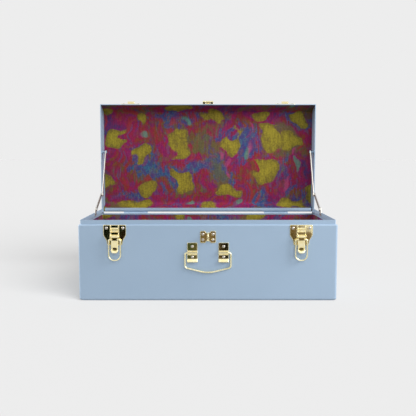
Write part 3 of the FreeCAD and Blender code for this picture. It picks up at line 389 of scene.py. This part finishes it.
enamel = make_enamel()
zinc_strip = make_zinc_strip()
dull_strip = make_dull_strip()
brass_wire = make_brass_wire()
small_brass = make_brass_sheet("brass_strip_bent_and_polished", edge_mm=0.5)
materials = {
    "painted_steel": enamel,
    "brass": make_brass_sheet("brass_sheet_pressed_and_polished", edge_mm=2.0),
    "nickel_rivets": make_nickel(),
    "plated_strip": dull_strip,
    "printed_lining": make_lining(),
}
for subpart in frame["record"]["subparts"]:
    piece = nodes[subpart["node"]]
    piece.data.materials.clear()
    piece.data.materials.append(materials[subpart["material_slot"]])
for node in ("handle_bail", "latch_bail_left", "latch_bail_right"):
    nodes[node].data.materials[0] = brass_wire
for node in ("hasp_leaf", "hasp_strap", "hasp_pin", "keeper_left", "keeper_right"):
    nodes[node].data.materials[0] = small_brass
for end in ("left", "right"):
    nodes["stay_lid_stud_" + end].data.materials[0] = enamel
    for node in ("stay_upper_link_", "stay_elbow_cap_", "stay_bracket_", "stay_base_pivot_"):
        nodes[node + end].data.materials[0] = zinc_strip


# Studio: pale paper floor, soft daylight stronger from the right, broad sunlike lamps, dark cards for
# the polished metal, and the photograph's camera
PAPER = 0.847
WHITE = linear("#FFFFFF")
SKY = 0.59
SKY_SLANT = 0.4
LAMP_SOFTNESS = math.radians(50)
LAMP_AIM = Vector((-0.5, 2.3, -1.8)).normalized()
LAMP_STRENGTH = 0.85
METAL_SHEEN = 0.16
SIDE_AIM = Vector((-2.0, 2.4, -1.7)).normalized()
FLOOR_LAMP_STRENGTH = 9.2
FLOOR_SHARE = 0.2
FLOOR_HALF_SIZE = 40
TRUNK_LIGHT = SKY - LAMP_STRENGTH * LAMP_AIM.z / math.pi
FLOOR_LIGHT = TRUNK_LIGHT - FLOOR_LAMP_STRENGTH * SIDE_AIM.z / math.pi


def seen_directly(tree):
    """1 for rays from the camera, off a mirror or through glass, and 0 for the light that falls on things."""
    path = add_node(tree, "ShaderNodeLightPath")
    direct = path.outputs["Is Camera Ray"]
    for ray in ("Is Glossy Ray", "Is Transmission Ray"):
        direct = add_node(tree, "ShaderNodeMath", {0: direct, 1: path.outputs[ray]},
                          operation="MAXIMUM").outputs[0]
    return direct


def make_floor_paper():
    """Pale paper: what is seen of it keeps the trunk's shadow, and is as bright as the backdrop elsewhere.

    What it gives back to the trunk is what the trunk's own light on pale paper would give.
    """
    material = bpy.data.materials.new("floor_paper")
    material.use_nodes = True
    tree = material.node_tree
    tree.nodes.clear()
    even = add_node(tree, "ShaderNodeEmission", {"Strength": PAPER - FLOOR_SHARE * FLOOR_LIGHT})
    shaded = add_node(tree, "ShaderNodeBsdfDiffuse", {"Color": (FLOOR_SHARE, FLOOR_SHARE, FLOOR_SHARE, 1.0)})
    seen = add_node(tree, "ShaderNodeAddShader", {0: even.outputs[0], 1: shaded.outputs[0]})
    returned = PAPER * TRUNK_LIGHT / FLOOR_LIGHT
    plain = add_node(tree, "ShaderNodeBsdfDiffuse", {"Color": (returned, returned, returned, 1.0)})
    mixed = add_node(tree, "ShaderNodeMixShader",
                     {0: seen_directly(tree), 1: plain.outputs[0], 2: seen.outputs[0]})
    add_node(tree, "ShaderNodeOutputMaterial", {"Surface": mixed.outputs[0]})
    return material


def stage_piece(name, shape, material):
    """Add a finished bmesh to the scene as part of the studio."""
    mesh = bpy.data.meshes.new(name)
    shape.to_mesh(mesh)
    shape.free()
    mesh.materials.append(material)
    piece = bpy.data.objects.new(name, mesh)
    bpy.context.scene.collection.objects.link(piece)
    return piece


# Dull backcloth in soft patches of black, olive, brown and bronze from the left to the right. It is seen only
# in polished metal, and its patches are painted reflections there
def make_painted_reflection_cloth():
    cloth_left, cloth_right = -0.44, 0.56
    material, tree, shader = new_material("painted_reflection_cloth", Roughness=0.9, Specular_IOR_Level=0.0)
    place = add_node(tree, "ShaderNodeTexCoord").outputs["Object"]
    side = add_node(tree, "ShaderNodeSeparateXYZ", {0: place})
    patches = add_node(tree, "ShaderNodeTexNoise", {"Vector": place, "Scale": per_metre(30), "Detail": 2.0})
    patches = add_node(tree, "ShaderNodeMath", {0: patches.outputs["Fac"], 1: 0.12, 2: side.outputs["X"]},
                       operation="MULTIPLY_ADD")
    patches = add_node(tree, "ShaderNodeMapRange",
                       {"Value": patches.outputs[0], "From Min": cloth_left, "From Max": cloth_right})
    colour = add_node(tree, "ShaderNodeValToRGB", {"Fac": patches.outputs[0]},
                      stops=[(0.06, "#0C1408"), (0.11, "#1C2A10"), (0.14, "#2A1A0C"), (0.20, "#3A2614"),
                             (0.38, "#5B6846"), (0.45, "#5B6846"), (0.475, "#A08A6A"), (0.525, "#A08A6A"),
                             (0.55, "#1C160C"), (0.64, "#2B351B"), (0.82, "#5C5430"), (0.88, "#947C58")])
    tree.links.new(colour.outputs["Color"], shader.inputs["Base Color"])
    return material


def dark_card(name, cloth, left, right, near, far, height):
    """Card on the floor, turned up at its far end, that shows only in polished metal, as a painted
    reflection.
    """
    above_floor = 2 * MM
    shape = bmesh.new()
    bmesh.ops.create_grid(shape, x_segments=1, y_segments=1, size=1)
    bmesh.ops.scale(shape, vec=((right - left) / 2, (near - far) / 2, 1), verts=shape.verts)
    bmesh.ops.translate(shape, vec=((left + right) / 2, (near + far) / 2, above_floor),
                        verts=shape.verts)
    far_edge = [edge for edge in shape.edges if all(vert.co.y < far + MM for vert in edge.verts)]
    turned_up = bmesh.ops.extrude_edge_only(shape, edges=far_edge)["geom"]
    turned_up = [item for item in turned_up if isinstance(item, bmesh.types.BMVert)]
    bmesh.ops.translate(shape, vec=(0, 0, height), verts=turned_up)
    card = stage_piece(name, shape, cloth)
    card.visible_camera = False
    card.visible_diffuse = False
    card.visible_shadow = False
    card.visible_transmission = False


def light_world():
    """Daylight that grows towards the right; what is seen of it is the pale backdrop."""
    world = bpy.data.worlds.new("studio")
    bpy.context.scene.world = world
    world.use_nodes = True
    tree = world.node_tree
    tree.nodes.clear()
    direction = add_node(tree, "ShaderNodeTexCoord").outputs["Generated"]
    direction = add_node(tree, "ShaderNodeSeparateXYZ", {0: direction})
    daylight = add_node(tree, "ShaderNodeMath", {0: direction.outputs["X"], 1: SKY * SKY_SLANT, 2: SKY},
                        operation="MULTIPLY_ADD")
    lighting = add_node(tree, "ShaderNodeBackground", {"Color": WHITE, "Strength": daylight.outputs[0]})
    seen = add_node(tree, "ShaderNodeBackground", {"Color": WHITE, "Strength": PAPER})
    mixed = add_node(tree, "ShaderNodeMixShader",
                     {0: seen_directly(tree), 1: lighting.outputs[0], 2: seen.outputs[0]})
    add_node(tree, "ShaderNodeOutputWorld", {"Surface": mixed.outputs[0]})


def lit_alone(name, pieces):
    """Collection of the only pieces that a lamp lights."""
    collection = bpy.data.collections.new(name)
    for piece in pieces:
        collection.objects.link(piece)
    return collection


def add_lamp(name, kind, aim, energy, receivers, place=(0, 0, 0), **settings):
    """Lamp that shines along its aim, on its receivers alone."""
    data = bpy.data.lights.new(name, kind)
    data.energy = energy
    for key, value in settings.items():
        setattr(data, key, value)
    lamp = bpy.data.objects.new(name, data)
    lamp.location = place
    lamp.rotation_euler = aim.to_track_quat("-Z", "Y").to_euler()
    lamp.light_linking.receiver_collection = receivers
    bpy.context.scene.collection.objects.link(lamp)


def add_camera(place, degrees_down, lens_mm, sensor_mm):
    """The photograph's camera, level from side to side."""
    data = bpy.data.cameras.new("camera")
    data.lens = lens_mm
    data.sensor_width = sensor_mm
    camera = bpy.data.objects.new("camera", data)
    camera.location = place
    camera.rotation_euler = (math.radians(90 - degrees_down), 0, 0)
    bpy.context.scene.collection.objects.link(camera)
    bpy.context.scene.camera = camera


floor_shape = bmesh.new()
bmesh.ops.create_grid(floor_shape, x_segments=1, y_segments=1, size=FLOOR_HALF_SIZE)
floor = stage_piece("floor", floor_shape, make_floor_paper())

painted_reflection_cloth = make_painted_reflection_cloth()
# Near-black cloth for the card behind the camera: a painted dark reflection in the polished metal
black_reflection_cloth = new_material("black_reflection_cloth", Base_Color=linear("#11150B"), Roughness=0.9,
                           Specular_IOR_Level=0.0)[0]
# The cards show only in the polished metal: their cloth paints the reflections there
dark_card("card_left", painted_reflection_cloth, left=-0.56, right=-0.25, near=-0.80, far=-1.68, height=0.06)
dark_card("card_middle", painted_reflection_cloth, left=-0.17, right=0.16, near=-0.58, far=-1.50, height=0.02)
dark_card("card_right", painted_reflection_cloth, left=0.28, right=0.45, near=-0.80, far=-1.68, height=0.02)
dark_card("card_behind_the_camera", black_reflection_cloth, left=-0.13, right=0.13, near=-1.69, far=-1.70,
          height=0.95)

light_world()

# The floor lamp throws the shadow, and the floor's own share of the light stays low, so that it takes
# little blue from the trunk. The polished metal has lamps of its own, so that its highlights stay small
# and below white. Soft lamps near the ends make the front lighter towards the right and fill the shade
# inside the ends
mirrors = [materials["brass"], materials["nickel_rivets"], brass_wire, small_brass]
bright_pieces = [node for node in nodes.values() if node.data.materials[0] in mirrors]
dull_pieces = [node for node in nodes.values() if node not in bright_pieces]
only_floor = lit_alone("only_the_floor", [floor])
only_bright = lit_alone("only_the_polished_metal", bright_pieces)
only_dull = lit_alone("only_enamel_strip_and_lining", dull_pieces)
no_bright = lit_alone("all_but_the_polished_metal", dull_pieces + [floor])
for name, aim, strength, receivers in (
        ("soft_lamp", LAMP_AIM, LAMP_STRENGTH, no_bright),
        ("floor_lamp", SIDE_AIM, FLOOR_LAMP_STRENGTH, only_floor),
        ("metal_lamp", SIDE_AIM, LAMP_STRENGTH, only_bright),
        ("metal_sheen_lamp", LAMP_AIM, METAL_SHEEN, only_bright)):
    add_lamp(name, "SUN", aim, strength, receivers, angle=LAMP_SOFTNESS)
trunk_middle = Vector((0, 0, 0.15))
for name, place, size, watts, receivers in (
        ("right_lamp", (1.4, -0.50, 0.9), 0.6, 20.0, only_dull),
        ("left_lamp", (-1.4, 0.05, 0.8), 0.6, 20.0, only_dull),
        ("right_glint_lamp", (1.4, -0.6, 0.9), 0.8, 15.0, only_bright),
        ("left_glint_lamp", (-1.4, -0.1, 0.8), 0.8, 3.0, only_bright)):
    add_lamp(name, "AREA", trunk_middle - Vector(place), watts, receivers, place, size=size)

add_camera(place=(0, -1.491, 0.3382), degrees_down=5.167, lens_mm=50.70, sensor_mm=36)
bpy.context.scene.view_settings.view_transform = "Standard"
